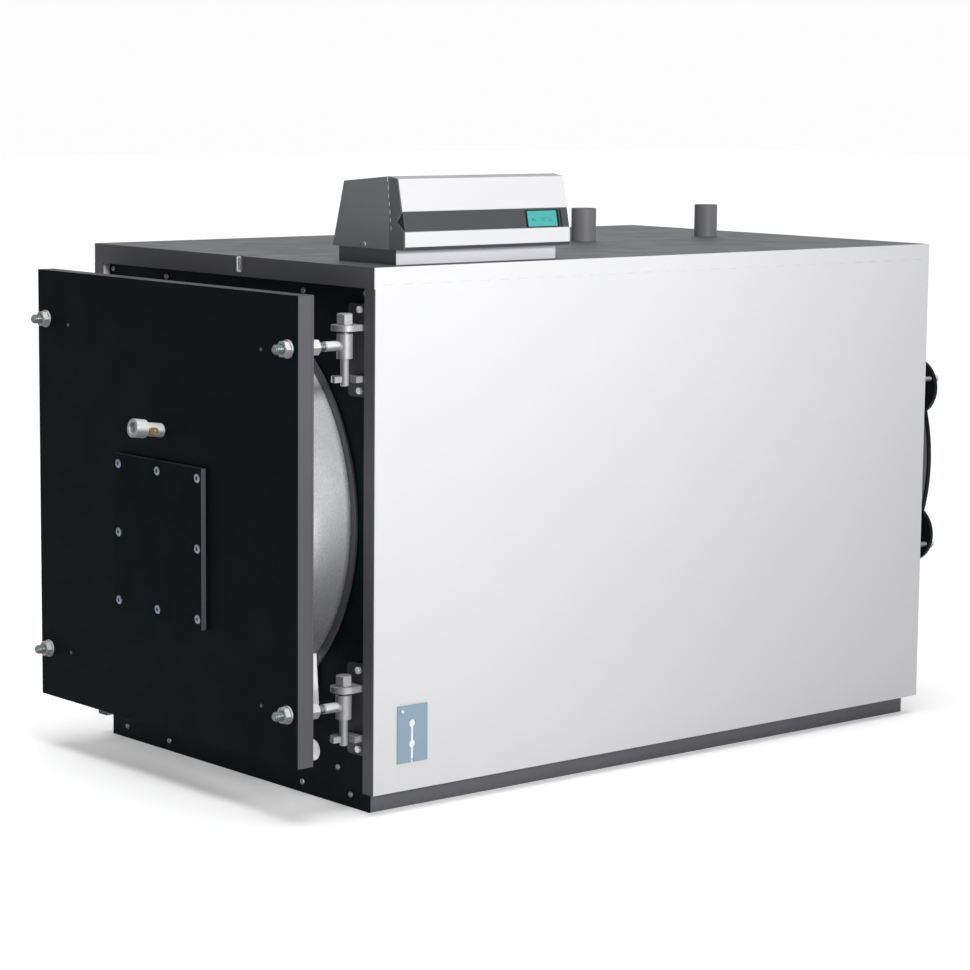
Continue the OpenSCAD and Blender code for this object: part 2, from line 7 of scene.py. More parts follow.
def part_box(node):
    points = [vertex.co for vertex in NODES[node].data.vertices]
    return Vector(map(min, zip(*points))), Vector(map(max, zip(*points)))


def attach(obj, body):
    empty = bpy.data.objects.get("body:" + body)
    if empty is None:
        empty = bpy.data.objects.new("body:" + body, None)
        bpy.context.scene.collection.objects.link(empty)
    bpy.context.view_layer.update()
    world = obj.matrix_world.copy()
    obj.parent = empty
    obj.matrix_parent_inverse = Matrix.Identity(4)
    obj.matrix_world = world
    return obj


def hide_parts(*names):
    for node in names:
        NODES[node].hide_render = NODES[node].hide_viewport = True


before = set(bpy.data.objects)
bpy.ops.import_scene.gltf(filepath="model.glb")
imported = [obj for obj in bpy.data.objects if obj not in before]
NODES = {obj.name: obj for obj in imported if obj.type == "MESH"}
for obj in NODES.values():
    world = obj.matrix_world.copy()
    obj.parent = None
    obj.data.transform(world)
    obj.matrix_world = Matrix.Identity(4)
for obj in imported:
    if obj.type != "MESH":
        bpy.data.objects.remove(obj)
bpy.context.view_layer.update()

MM = 0.001


# ---------------------------------------------------------------- places, all taken from the CAD nodes

def mid(node):
    lo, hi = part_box(node)
    return (lo + hi) / 2


DOOR_LO, DOOR_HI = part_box("door_sheet")
DOOR_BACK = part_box("door_plate")[1].y
AXIS_Z = mid("front_ring").z
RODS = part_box("tie_rods")
ROD_R = 10 * MM
RIGHT_LEFT = [(sx, sz) for sx in (1, -1) for sz in (1, -1)]      # sides of the four rods, hinges and studs
ROD_X = RODS[1].x - ROD_R
ROD_DZ = (RODS[1].z - RODS[0].z) / 2 - ROD_R
PLATE_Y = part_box("front_plate")[0].y
TOP_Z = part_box("top_cover_right")[1].z


# ---------------------------------------------------------------- camera

# solved from the casing's edges in the photo: degrees, metres and millimetres
AZIMUTH, ELEVATION, ROLL = 49.699, 7.802, 0.5413
CAMERA_AT = (5.0942, -4.4192, 1.4743)
SENSOR, FOCAL_LENGTH = 36, 110.95


def make_camera():
    azimuth, elevation, roll = (math.radians(a) for a in (AZIMUTH, ELEVATION, ROLL))
    back = Vector((math.sin(azimuth) * math.cos(elevation), -math.cos(azimuth) * math.cos(elevation),
                   math.sin(elevation)))
    level = (-back).cross(Vector((0, 0, 1))).normalized()
    steep = level.cross(-back)
    right = math.cos(roll) * level + math.sin(roll) * steep
    up = math.cos(roll) * steep - math.sin(roll) * level
    data = bpy.data.cameras.new("camera")
    data.sensor_width, data.lens = SENSOR, FOCAL_LENGTH
    data.clip_start, data.clip_end = 0.1, 200
    camera = bpy.data.objects.new("camera", data)
    turn = Matrix([[right[i], up[i], back[i]] for i in range(3)]).to_4x4()
    camera.matrix_world = Matrix.Translation(CAMERA_AT) @ turn
    bpy.context.scene.collection.objects.link(camera)
    bpy.context.scene.camera = camera


make_camera()


# ---------------------------------------------------------------- shader building

class Shader:
    """One node material on object coordinates, so its texture moves with the piece."""

    def __init__(self, name):
        self.mat = bpy.data.materials.new(name)
        self.mat.use_nodes = True
        self.tree = self.mat.node_tree
        self.out = next(n for n in self.tree.nodes if n.type == "BSDF_PRINCIPLED")
        self.coord = self.tree.nodes.new("ShaderNodeTexCoord")
        self.where = self.coord.outputs["Object"]

    def put(self, socket, value):
        if isinstance(value, bpy.types.NodeSocket):
            self.tree.links.new(value, socket)
        elif isinstance(value, (tuple, list)) and len(value) == 3 and socket.type == "RGBA":
            socket.default_value = (*value, 1)
        else:
            socket.default_value = value

    def set(self, **values):
        for key, value in values.items():
            self.put(self.out.inputs[key.replace("_", " ")], value)
        return self.mat

    def scaled(self, stretch):
        n = self.tree.nodes.new("ShaderNodeMapping")
        self.put(n.inputs["Vector"], self.where)
        n.inputs["Scale"].default_value = stretch
        return n.outputs[0]

    def noise(self, scale, detail, rough=0.55, stretch=None, warp=0.0):
        n = self.tree.nodes.new("ShaderNodeTexNoise")
        self.put(n.inputs["Vector"], self.scaled(stretch) if stretch else self.where)
        for key, value in (("Scale", scale), ("Detail", detail), ("Roughness", rough), ("Distortion", warp)):
            n.inputs[key].default_value = value
        return n.outputs["Fac"]

    def cells(self, scale, feature="F1"):
        n = self.tree.nodes.new("ShaderNodeTexVoronoi")
        n.feature = feature
        self.put(n.inputs["Vector"], self.where)
        n.inputs["Scale"].default_value = scale
        return n.outputs["Distance"]

    def math(self, how, a, b):
        n = self.tree.nodes.new("ShaderNodeMath")
        n.operation = how
        self.put(n.inputs[0], a)
        self.put(n.inputs[1], b)
        return n.outputs[0]

    def span(self, value, lo, hi, to_lo=0.0, to_hi=1.0):
        """value from lo to hi mapped smoothly onto to_lo to to_hi"""
        n = self.tree.nodes.new("ShaderNodeMapRange")
        n.interpolation_type = "SMOOTHSTEP"
        for key, v in (("Value", value), ("From Min", lo), ("From Max", hi),
                       ("To Min", to_lo), ("To Max", to_hi)):
            self.put(n.inputs[key], v)
        return n.outputs["Result"]

    def mix(self, fac, a, b, how="MIX"):
        n = self.tree.nodes.new("ShaderNodeMix")
        n.data_type, n.blend_type = "RGBA", how
        for socket, value in ((0, fac), (6, a), (7, b)):       # factor and the two colours
            self.put(n.inputs[socket], value)
        return n.outputs[2]

    def times(self, fac, colour, share):
        """colour, and its given share where fac is 1"""
        return self.mix(fac, colour, self.mix(1.0, colour, (share,) * 3, "MULTIPLY"))

    def beyond(self, base, plane):
        """base, and past a plane another colour; plane is (axis, coordinate, colour) or None"""
        if plane is None:
            return base
        axis, coordinate, other = plane
        return self.mix(self.math("GREATER_THAN", self.part(self.where, axis), coordinate), base, other)

    def part(self, vector, axis):
        n = self.tree.nodes.new("ShaderNodeSeparateXYZ")
        self.put(n.inputs[0], vector)
        return n.outputs[axis]

    def facing(self, direction):
        """1 where the piece's own surface faces that way, else 0"""
        n = self.tree.nodes.new("ShaderNodeVectorMath")
        n.operation = "DOT_PRODUCT"
        self.put(n.inputs[0], self.coord.outputs["Normal"])
        n.inputs[1].default_value = direction
        return self.span(n.outputs["Value"], 0.45, 0.75)

    def bump(self, *layers):
        """layers of (height, distance in metres)"""
        normal = None
        for height, distance in layers:
            n = self.tree.nodes.new("ShaderNodeBump")
            n.inputs["Strength"].default_value = 1.0
            n.inputs["Distance"].default_value = distance
            self.put(n.inputs["Height"], height)
            if normal:
                self.put(n.inputs["Normal"], normal)
            normal = n.outputs[0]
        self.put(self.out.inputs["Normal"], normal)


def shade(colour, k):
    """the colour made k times as bright"""
    return tuple(min(1.0, c * k) for c in colour)


def painted(name, colour, rough=0.42, spec=0.4, mottle=0.06, peel=0.00004, faces=()):
    """powder-coated sheet: slight cloudiness, orange peel, and fine dust in the finish; faces lists
    (direction, colour): surfaces facing that way get that colour, a painted light or shade
    """
    s = Shader(name)
    base = colour
    # painted light and shade: surfaces facing a listed way take another colour
    for direction, other in faces:
        base = s.mix(s.facing(direction), base, other)
    cloud = s.noise(2.3, 4, 0.6)
    base = s.times(s.span(cloud, 0.3, 0.7, 1, 0), base, 1 - mottle)
    dust = shade(colour, 1.7 if max(colour) < 0.3 else 0.9)
    base = s.mix(s.span(s.noise(900, 2, 0.5), 0.6, 0.75, 0, 0.5), base, dust)
    s.set(Base_Color=base, Roughness=s.span(s.noise(14, 4), 0.3, 0.7, rough - 0.05, rough + 0.05),
          Specular_IOR_Level=spec)
    s.bump((s.noise(420, 2), peel), (s.noise(1700, 1), peel * 0.4))
    return s.mat


def metal(name, colour, tint, rough, metallic, streak=(1, 1, 1), depth=0.00002, grime=0.25,
          beyond=None, painted_shade_faces=(), painted_shade_below=1.0):
    """bare or plated metal with a fine grain that streak draws out, a tint, and dark marks in patches;
    beyond is (axis, coordinate, colour): the colour of the part past that plane;
    dull lists (direction, share): faces that way made darker, a painted shade; under darkens what faces down,
    a painted shade"""
    s = Shader(name)
    lines = s.noise(160, 3, 0.6, stretch=streak)
    patch = s.noise(38, 4, 0.6)
    base = s.mix(s.span(patch, 0.3, 0.7), colour, tint)
    base = s.mix(s.span(s.noise(90, 5, 0.7), 0.58, 0.78, 0, grime), base, shade(colour, 0.45))
    base = s.beyond(base, beyond)
    # painted shade: faces turned a listed way made darker
    for direction, share in painted_shade_faces:
        base = s.times(s.facing(direction), base, share)
    # painted shade: faces turned down made darker
    if painted_shade_below < 1:
        low = s.span(s.part(s.coord.outputs["Normal"], 2), -0.4, 0.24, 1, 0)
        base = s.times(low, base, painted_shade_below)
    uneven = s.span(patch, 0.3, 0.7, -0.03, 0.05)
    s.set(Base_Color=base, Metallic=metallic,
          Roughness=s.math("ADD", s.span(lines, 0.25, 0.75, rough - 0.07, rough + 0.07), uneven))
    s.bump((lines, depth))
    return s.mat


def fibre(name, colour, dark, scale=220, depth=0.0009):
    """matted fibres in tufts"""
    s = Shader(name)
    strands = s.noise(scale, 6, 0.75, stretch=(1, 0.35, 1), warp=1.2)
    tufts = s.noise(scale / 7, 4, 0.6)
    base = s.mix(s.span(strands, 0.35, 0.65), dark, colour)
    base = s.mix(s.span(tufts, 0.3, 0.7, 0, 0.4), base, dark)
    s.set(Base_Color=base, Roughness=0.95, Specular_IOR_Level=0.1)
    s.bump((tufts, depth * 2), (strands, depth))
    return s.mat


def refractory(name):
    """cast refractory with pits and a few hair cracks"""
    s = Shader(name)
    grain, pits = s.noise(330, 5, 0.7), s.cells(260)
    cracks = s.math("ADD", s.cells(4.3, "DISTANCE_TO_EDGE"), s.span(s.noise(5, 4), 0.42, 0.62, 0, 0.02))
    base = s.mix(s.span(s.noise(6, 4), 0.3, 0.7), (0.46, 0.38, 0.29), (0.62, 0.54, 0.43))
    base = s.mix(s.span(grain, 0.55, 0.75, 0, 0.5), base, (0.25, 0.2, 0.16))
    base = s.mix(s.span(cracks, 0.0, 0.005, 0.5, 0), base, (0.14, 0.11, 0.08))
    s.set(Base_Color=base, Roughness=0.92, Specular_IOR_Level=0.2)
    s.bump((s.span(cracks, 0.0, 0.006), 0.0008), (s.span(pits, 0.0, 0.35), 0.0005), (grain, 0.0004))
    return s.mat


def scaled_steel(name, colour, rust=0.35):
    """hot-rolled steel: blue-grey mill scale, thin rust in patches"""
    s = Shader(name)
    scale_n = s.noise(9, 6, 0.65)
    base = s.mix(s.span(scale_n, 0.35, 0.65), colour, shade(colour, 0.6))
    base = s.mix(s.span(s.noise(23, 7, 0.72), 0.54, 0.72, 0, rust), base, (0.19, 0.075, 0.03))
    s.set(Base_Color=base, Metallic=0.35, Roughness=s.span(scale_n, 0.3, 0.7, 0.45, 0.72))
    s.bump((s.noise(60, 6, 0.7), 0.0003), (s.noise(500, 3), 0.0001))
    return s.mat


def plastic(name, colour, rough=0.45, spec=0.4, grain=0.00005, faces=(), beyond=None, glow=0):
    """moulded plastic with a fine spark-eroded texture; beyond as for metal; glow is a little light of
    its own, for white pieces that stay bright in the photo although the door shades them"""
    s = Shader(name)
    base = s.beyond(colour, beyond)
    # painted shade: surfaces facing a listed way take another colour
    for direction, other in faces:
        base = s.mix(s.facing(direction), base, other)
    base = s.mix(s.span(s.noise(5, 3), 0.3, 0.7, 0, 0.07), base, shade(colour, 0.6))
    s.set(Base_Color=base, Roughness=s.span(s.noise(30, 3), 0.3, 0.7, rough - 0.04, rough + 0.05),
          Specular_IOR_Level=spec, Emission_Color=base, Emission_Strength=glow)
    s.bump((s.cells(1300), grain))
    return s.mat


def glass(name):
    """slightly smeared glass"""
    s = Shader(name)
    s.set(Base_Color=(0.82, 0.88, 0.9), Roughness=s.span(s.noise(60, 4), 0.3, 0.8, 0.02, 0.12),
          Transmission_Weight=0.6, Specular_IOR_Level=0.6)
    s.bump((s.noise(200, 3), 0.00001))
    return s.mat


WHITE = (0.63, 0.63, 0.645)
# painted shade: front-facing faces of the grey top cover and trims made darker
PAINTED_SHADE_FRONT = ((0, -1, 0), (0.085, 0.085, 0.095))
MATERIALS = {
    "white": painted("white_powder", WHITE, 0.45, 0.3, mottle=0.02),
    # hood: faces turned up made darker, a painted shade
    "hood": painted("hood_powder", (0.585, 0.585, 0.597), 0.45, 0.3, mottle=0.02,
                    faces=[((0, 0, 1), (0.36, 0.36, 0.375))]),
    # front faces of the top cover and trims darker: painted shade
    "top": painted("grey_powder", (0.10, 0.104, 0.112), 0.55, 0.2, faces=[PAINTED_SHADE_FRONT]),
    "grey": painted("grey_trim", (0.12, 0.12, 0.13), 0.5, 0.25, faces=[PAINTED_SHADE_FRONT]),
    "plinth": painted("plinth_powder", (0.12, 0.12, 0.13), 0.55, 0.25),
    "plate": painted("black_sheet", (0.0048, 0.0078, 0.0095), 0.55, 0.05),
    "door": painted("black_door", (0.003, 0.0054, 0.0069), 0.45, 0.02),
    # grey of the door's rim, lighter than the black door sheet: painted light on its lit sides; faces turned
    # up made darker: painted shade
    "edge": painted("door_edge", (0.088, 0.085, 0.093), 0.5, 0.2,
                    faces=[((0, 0, 1), (0.022, 0.025, 0.028))]),
    # burner plate: its +X sides lighter, painted light, and its top faces lighter, a painted highlight
    "burner": painted("burner_plate", (0.0024, 0.0046, 0.006), 0.5, 0.02,
                      faces=[((1, 0, 0), (0.075, 0.075, 0.078)), ((0, 0, 1), (0.03, 0.032, 0.034))]),
    "blue": painted("blue_grey", (0.236, 0.336, 0.424), 0.4, 0.4),
    "pipe": painted("pipe_primer", (0.2, 0.2, 0.21), 0.5, 0.3),
    "smokebox": painted("smokebox", (0.12, 0.12, 0.13), 0.6, 0.2),
    "cover": painted("cover_black", (0.009, 0.013, 0.015), 0.5, 0.1),
    # console base: faces turned front and back made dark, a painted shade
    "base": painted("console_base", (0.66, 0.66, 0.70), 0.45, 0.4,
                    faces=[((0, -1, 0), (0.1, 0.1, 0.105)), ((0, 1, 0), (0.1, 0.1, 0.105))]),
    "collar": painted("collar", (0.10, 0.10, 0.11), 0.5, 0.3),
    # zinc, thread, hinge and bracket: faces turned to the front are darker, and for zinc and thread also
    # faces turned down: painted shade
    "zinc": metal("zinc", (0.92, 0.93, 0.95), (0.86, 0.87, 0.86), 0.33, 0.35, streak=(1, 8, 1), grime=0.2,
                  painted_shade_faces=[((0, -1, 0), 0.42)], painted_shade_below=0.3),
    "thread": metal("zinc_thread", (0.50, 0.58, 0.56), (0.42, 0.48, 0.45), 0.33, 0.5, streak=(8, 1, 8),
                    painted_shade_faces=[((0, -1, 0), 0.45)], painted_shade_below=0.35),
    "screw": metal("screw_grey", (0.29, 0.33, 0.40), (0.24, 0.27, 0.33), 0.4, 0.4, streak=(6, 1, 6),
                   grime=0.3),
    "hinge": metal("hinge_steel", (0.44, 0.44, 0.46), (0.38, 0.38, 0.39), 0.42, 0.35, streak=(1, 1, 6),
                   depth=0.00004, grime=0.4, painted_shade_faces=[((0, -1, 0), 0.55)]),
    "bracket": metal("bracket_steel", (0.47, 0.47, 0.49), (0.40, 0.40, 0.41), 0.42, 0.35, streak=(1, 1, 6),
                     depth=0.00004, grime=0.4, beyond=(1, PLATE_Y - 0.0105, (0.09, 0.09, 0.095)),
                     painted_shade_faces=[((0, -1, 0), 0.5)]),
    # polished ring: darker where it faces down, a painted shade
    "polished": metal("polished_ring", (0.86, 0.87, 0.90), (0.82, 0.83, 0.86), 0.26, 0.5, streak=(1, 14, 1),
                      grime=0.06, painted_shade_below=0.4),
    "bolt": metal("bright_zinc", (0.95, 0.95, 0.97), (0.88, 0.89, 0.9), 0.3, 0.2, streak=(6, 1, 6),
                  grime=0.1),
    "brass": metal("brass", (0.42, 0.27, 0.11), (0.34, 0.2, 0.08), 0.4, 0.6, depth=0.00003, grime=0.5),
    "steel": scaled_steel("mill_scale", (0.17, 0.165, 0.17)),
    "turbulator": scaled_steel("heat_tint", (0.28, 0.22, 0.19), 0.6),
    "wool": fibre("mineral_wool", (0.62, 0.5, 0.24), (0.36, 0.27, 0.1)),
    "ceramic": fibre("ceramic_fibre", (0.84, 0.82, 0.76), (0.62, 0.6, 0.54), 320, 0.0006),
    "refractory": refractory("refractory"),
    "console": plastic("console_grey", (0.165, 0.172, 0.18), beyond=(0, 0.4435, (0.085, 0.09, 0.095))),
    # display strip: faces turned to the front made near black, a painted shade
    "fascia": plastic("console_strip", (0.062, 0.065, 0.07), 0.35, 0.3,
                      faces=[((0, -1, 0), (0.004, 0.005, 0.006))]),
    "pan": plastic("console_pan", (0.035, 0.036, 0.04)),
    "bezel": plastic("display_bezel", (0.012, 0.014, 0.015), 0.3, 0.3),
    "membrane": plastic("white_rubber", (0.83, 0.85, 0.88), 0.6, 0.3),
    "cap": plastic("white_cap", (0.93, 0.94, 0.96), 0.5, 0.3, glow=0.3),
    "lens": plastic("lcd", (0.067, 0.338, 0.322), 0.18, 0.3, 0.00001),
    "ink": plastic("lcd_segments", (0.025, 0.17, 0.15), 0.25, 0.3, 0.00001),
    "board": plastic("solder_mask", (0.02, 0.12, 0.05), 0.3, 0.5),
    "glass": glass("sight_glass"),
}


# ---------------------------------------------------------------- modifiers for the CAD nodes

def geometry_group(name, build):
    group = bpy.data.node_groups.new(name, "GeometryNodeTree")
    for way in ("INPUT", "OUTPUT"):
        group.interface.new_socket("Geometry", in_out=way, socket_type="NodeSocketGeometry")
    first, last = group.nodes.new("NodeGroupInput"), group.nodes.new("NodeGroupOutput")
    group.links.new(build(group, first.outputs[0]), last.inputs[0])
    return group


def build_clean(group, geometry):
    for attribute in ("custom_normal", "sharp_edge", "sharp_face"):
        n = group.nodes.new("GeometryNodeRemoveAttribute")
        group.links.new(geometry, n.inputs["Geometry"])
        n.inputs["Name"].default_value = attribute
        geometry = n.outputs[0]
    n = group.nodes.new("GeometryNodeMergeByDistance")
    group.links.new(geometry, n.inputs["Geometry"])
    n.inputs["Distance"].default_value = 2e-6
    return n.outputs[0]


def build_shade(group, geometry):
    angle = group.nodes.new("GeometryNodeInputMeshEdgeAngle")
    sharp = group.nodes.new("FunctionNodeCompare")
    sharp.data_type, sharp.operation = "FLOAT", "LESS_THAN"
    group.links.new(angle.outputs[0], sharp.inputs[0])
    sharp.inputs[1].default_value = math.radians(32)
    faces = group.nodes.new("GeometryNodeSetShadeSmooth")
    edges = group.nodes.new("GeometryNodeSetShadeSmooth")
    edges.domain = "EDGE"
    group.links.new(geometry, faces.inputs["Geometry"])
    group.links.new(faces.outputs[0], edges.inputs["Geometry"])
    group.links.new(sharp.outputs[0], edges.inputs["Shade Smooth"])
    return edges.outputs[0]


CLEAN = geometry_group("clean_mesh", build_clean)
SHADE = geometry_group("shade_by_angle", build_shade)


def add_group(obj, group):
    m = obj.modifiers.new(group.name, "NODES")
    m.node_group = group


def dress(node, material, bevel):
    """a CAD node keeps its mesh; modifiers round its edges, and it gets a material"""
    obj = NODES[node]
    obj.data.materials.clear()
    obj.data.materials.append(MATERIALS[material])
    add_group(obj, CLEAN)
    flat = obj.modifiers.new("flat", "DECIMATE")
    flat.decimate_type, flat.angle_limit = "DISSOLVE", math.radians(0.6)
    edges = obj.modifiers.new("edges", "BEVEL")
    edges.width, edges.segments = bevel, 2
    edges.limit_method, edges.angle_limit = "ANGLE", math.radians(38)
    edges.use_clamp_overlap = True
    add_group(obj, SHADE)
    even = obj.modifiers.new("even", "WEIGHTED_NORMAL")
    even.keep_sharp, even.weight = True, 80


# each CAD node with its material and the radius of its edges in mm
for node, material, bevel in [
    ("base_frame", "plinth", 1.2), ("front_plate", "plate", 0.6), ("rear_plate", "grey", 0.6),
    ("side_panel_left", "white", 0.7), ("side_panel_right", "white", 0.7),
    ("corner_trims", "grey", 0.5), ("top_cover_left", "top", 0.7), ("top_cover_right", "top", 0.7),
    ("notch_grommet", "membrane", 0.4), ("cable_plate", "blue", 0.6),
    ("cable_membrane", "membrane", 0.3), ("pressure_shell", "steel", 0.6),
    ("front_ring", "polished", 0.9), ("shell_collar", "collar", 0.9),
    ("front_tube_plate", "steel", 0.6), ("rear_tube_plate", "steel", 0.6),
    ("furnace_tube", "steel", 0.8), ("smoke_tubes", "steel", 0.5), ("turbulators", "turbulator", 0.3),
    ("insulation_jacket", "wool", 4), ("supply_pipe", "pipe", 0.7), ("return_pipe", "pipe", 0.7),
    ("drain_stub", "cap", 1.5), ("ring_gussets", "cap", 1), ("smokebox", "smokebox", 0.8),
    ("smokebox_cover", "cover", 1.4), ("flue_spigot", "cover", 0.6), ("hinge_brackets", "bracket", 1.2),
    ("eyes_right", "hinge", 1), ("eyes_left", "hinge", 1), ("door_frame", "edge", 0.6),
    ("door_sheet", "door", 0.8), ("door_plate", "edge", 0.6), ("door_insulation", "ceramic", 2),
    ("door_refractory", "refractory", 4), ("burner_plate", "burner", 0.8), ("sight_tube", "zinc", 0.6),
    ("sight_cap", "zinc", 1.2), ("sight_glass", "glass", 0.3), ("sight_nipple", "brass", 0.5),
    ("console_base", "base", 0.8), ("console_hood", "hood", 0.8), ("console_end_front", "console", 0.6),
    ("console_end_rear", "console", 0.6), ("console_floor", "pan", 0.8),
    ("display_fascia", "fascia", 0.5), ("display_lens", "lens", 0.3), ("console_board", "board", 0.3),
]:
    dress(node, material, bevel * MM)


# ---------------------------------------------------------------- pieces made in mesh code

def piece(name, verts, faces, body, material, *replaced, slot=None):
    mesh = bpy.data.meshes.new(name)
    mesh.from_pydata([tuple(v) for v in verts], [], faces)
    mesh.validate()
    mesh.update()
    mesh.materials.append(MATERIALS[material])
    obj = bpy.data.objects.new(name, mesh)
    bpy.context.scene.collection.objects.link(obj)
    add_group(obj, SHADE)
    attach(obj, body)
    if replaced:
        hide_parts(*replaced)
    return obj


class Build:
    """Collects vertices and faces of several closed solids"""

    def __init__(self):
        self.verts, self.faces = [], []

    def rings(self, rings, place, close=(True, True)):
        """joins rings of points, each of the same length; place maps a local point to the row frame"""
        start, n = len(self.verts), len(rings[0])
        for ring in rings:
            self.verts += [place(Vector(p)) for p in ring]
        for k in range(len(rings) - 1):
            a, b = start + k * n, start + (k + 1) * n
            for i in range(n):
                j = (i + 1) % n
                self.faces.append((a + i, a + j, b + j, b + i))
        if close[0]:
            self.faces.append(tuple(start + i for i in reversed(range(n))))
        if close[1]:
            end = start + (len(rings) - 1) * n
            self.faces.append(tuple(end + i for i in range(n)))

    def loop(self, rings, place):
        """as rings, and the last ring joins the first"""
        self.rings(rings, place, (False, False))
        n, count = len(rings[0]), len(rings)
        start = len(self.verts) - n * count
        a, b = start + (count - 1) * n, start
        for i in range(n):
            j = (i + 1) % n
            self.faces.append((a + i, a + j, b + j, b + i))

    def piece(self, name, body, material, *replaced, slot=None):
        return piece(name, self.verts, self.faces, body, material, *replaced, slot=slot)


def polar(r, angle, h):
    return (r * math.cos(angle), r * math.sin(angle), h)


def angles(n):
    return [2 * math.pi * i / n for i in range(n)]


def circle(r, h, n):
    return [polar(r, a, h) for a in angles(n)]


HEX_FACE = 0.475                             # radius of a hexagon's flat face, as a share of its width
CHAMFER = math.tan(math.radians(30))


def hex_radius(af, angle):
    """distance from the centre of a hexagon to its side, at that angle"""
    return af / 2 / math.cos((angle % (math.pi / 3)) - math.pi / 6)


def hex_ring(af, h_of, n):
    """outline of a hexagon; h_of gives its height from how far it lies outside the flat face"""
    return [polar(hex_radius(af, a), a, h_of(max(0, hex_radius(af, a) - af * HEX_FACE))) for a in angles(n)]


def hex_head(build, place, af, height, base=0.0, bore=0.0):
    """chamfered hexagon from base upwards along local z; with a bore it is a nut"""
    n, face_r, top = 48, af * HEX_FACE, base + height
    rings = [circle(face_r, base, n), hex_ring(af, lambda over: base + over * CHAMFER, n),
             hex_ring(af, lambda over: top - over * CHAMFER, n), circle(face_r, top, n)]
    if bore:
        lip = bore * 0.12
        rings += [circle(bore + lip, top, n), circle(bore, top - lip, n),
                  circle(bore, base + lip, n), circle(bore + lip, base, n)]
        build.loop(rings, place)
    else:
        rings += [circle(face_r * 0.93, top + af * 0.012, n), circle(face_r * 0.5, top + af * 0.02, n)]
        build.rings(rings, place)


def collar_nut(build, place, af, height, collar_r, collar_h, bore):
    """hexagon nut with a round collar at its far end along local z"""
    n, step, lip = 48, height - collar_h, bore * 0.12
    rings = [circle(af * HEX_FACE, 0, n), hex_ring(af, lambda over: over * CHAMFER, n),
             hex_ring(af, lambda over: step, n), circle(collar_r - 0.6 * MM, step + 0.1 * MM, n),
             circle(collar_r, step + 0.7 * MM, n), circle(collar_r, height, n),
             circle(bore * 1.05, height, n), circle(bore, height - lip / 2, n),
             circle(bore, lip, n), circle(bore + lip, 0, n)]
    build.loop(rings, place)


def along(direction, at, spin=0.0):
    """a placing whose local z runs along direction from the point at, turned about it by spin degrees"""
    turn = Vector((0, 0, 1)).rotation_difference(Vector(direction)).to_matrix()
    turn = turn @ Matrix.Rotation(math.radians(spin), 3, "Z")
    origin = Vector(at)
    return lambda p: origin + turn @ p


THREAD_DEPTH = 0.54                          # as a share of the pitch
TIP_STEP = 1.2 * MM                          # depth of the chamfer at a thread's tip, below its root


def thread_rings(length, r, pitch, tip, n=28, rows=7):
    """rings of a helical thread of that length; its first end has a chamfer of length tip"""
    depth = THREAD_DEPTH * pitch
    root, steps = r - depth, int(length / pitch * rows)
    rings = []
    for k in range(steps + 1):
        h = length * k / steps
        widest = root - TIP_STEP + 1.1 * h if h < tip else r
        least = r - depth * 0.4 if k > steps * 0.985 else 0
        ring = []
        for i, a in enumerate(angles(n)):
            phase = (h / pitch - i / n) % 1.0
            cut = depth * min(1.0, max(0.0, 1.25 - abs(phase - 0.5) * 2.9))
            ring.append(polar(max(least, min(r - cut, widest)), a, h))
        rings.append(ring)
    return rings


def make_rods():
    tip, end = RODS[0].y, RODS[1].y
    pitch, threaded, length = 4 * MM, end - tip - 33 * MM, end - tip
    threads, shanks = Build(), Build()
    for sx, sz in RIGHT_LEFT:
        place = along((0, 1, 0), (sx * ROD_X, tip, AXIS_Z + sz * ROD_DZ))
        centre = circle(ROD_R * 0.35, 0.4 * MM, 28)
        threads.rings([centre] + thread_rings(threaded, ROD_R - 0.1 * MM, pitch, pitch), place)
        ends = ((0.88, threaded - 1 * MM), (1.0, threaded + 0.6 * MM),
                (1.0, length - 1.2 * MM), (0.93, length))
        shanks.rings([circle(ROD_R * share, h, 40) for share, h in ends], place)
    threads.piece("rod_threads", "door", "thread", "tie_rods", slot="zinc")
    shanks.piece("rod_shanks", "door", "zinc", slot="zinc")


def make_nuts():
    lo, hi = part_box("rod_nuts")
    nuts = Build()
    for sx, sz in RIGHT_LEFT:
        for way, y, height, collar_h in ((1, lo.y, DOOR_LO.y - lo.y, 4 * MM),
                                         (-1, hi.y, hi.y - DOOR_BACK, 6 * MM)):
            place = along((0, way, 0), (sx * ROD_X, y, AXIS_Z + sz * ROD_DZ))
            collar_nut(nuts, place, 30 * MM, height, 18.5 * MM, collar_h, ROD_R)
    nuts.piece("rod_nuts_hex", "door", "zinc", "rod_nuts", slot="zinc")


def domed_screw(build, place, r, height, socket=0.0):
    """round head with a domed top, and a hexagon socket where socket is its width across flats"""
    n, flat_r, side_h = 36, 0.62 * r, 0.35 * height
    rings = [circle(r, 0, n), circle(r, side_h, n)]
    for share in (0.25, 0.5, 0.75):
        a = share * math.pi / 2
        rings.append(circle(flat_r + (r - flat_r) * math.cos(a), side_h + (height - side_h) * math.sin(a), n))
    rings.append(circle(flat_r, height, n))
    if socket:
        rings.append([polar(hex_radius(socket, a), a, height) for a in angles(n)])
        rings.append([(x * 0.96, y * 0.96, side_h) for x, y, h in rings[-1]])
    build.rings(rings, place)


PANEL_SCREWS = ((245, 1040), (243, 23), (407, 27), (450, 1046))     # x and z in mm, on both sides
DRAIN_SCREW = (364, 76)
PANEL_HEAD = (6 * MM, 4 * MM, 3.4 * MM)      # radius, height and socket


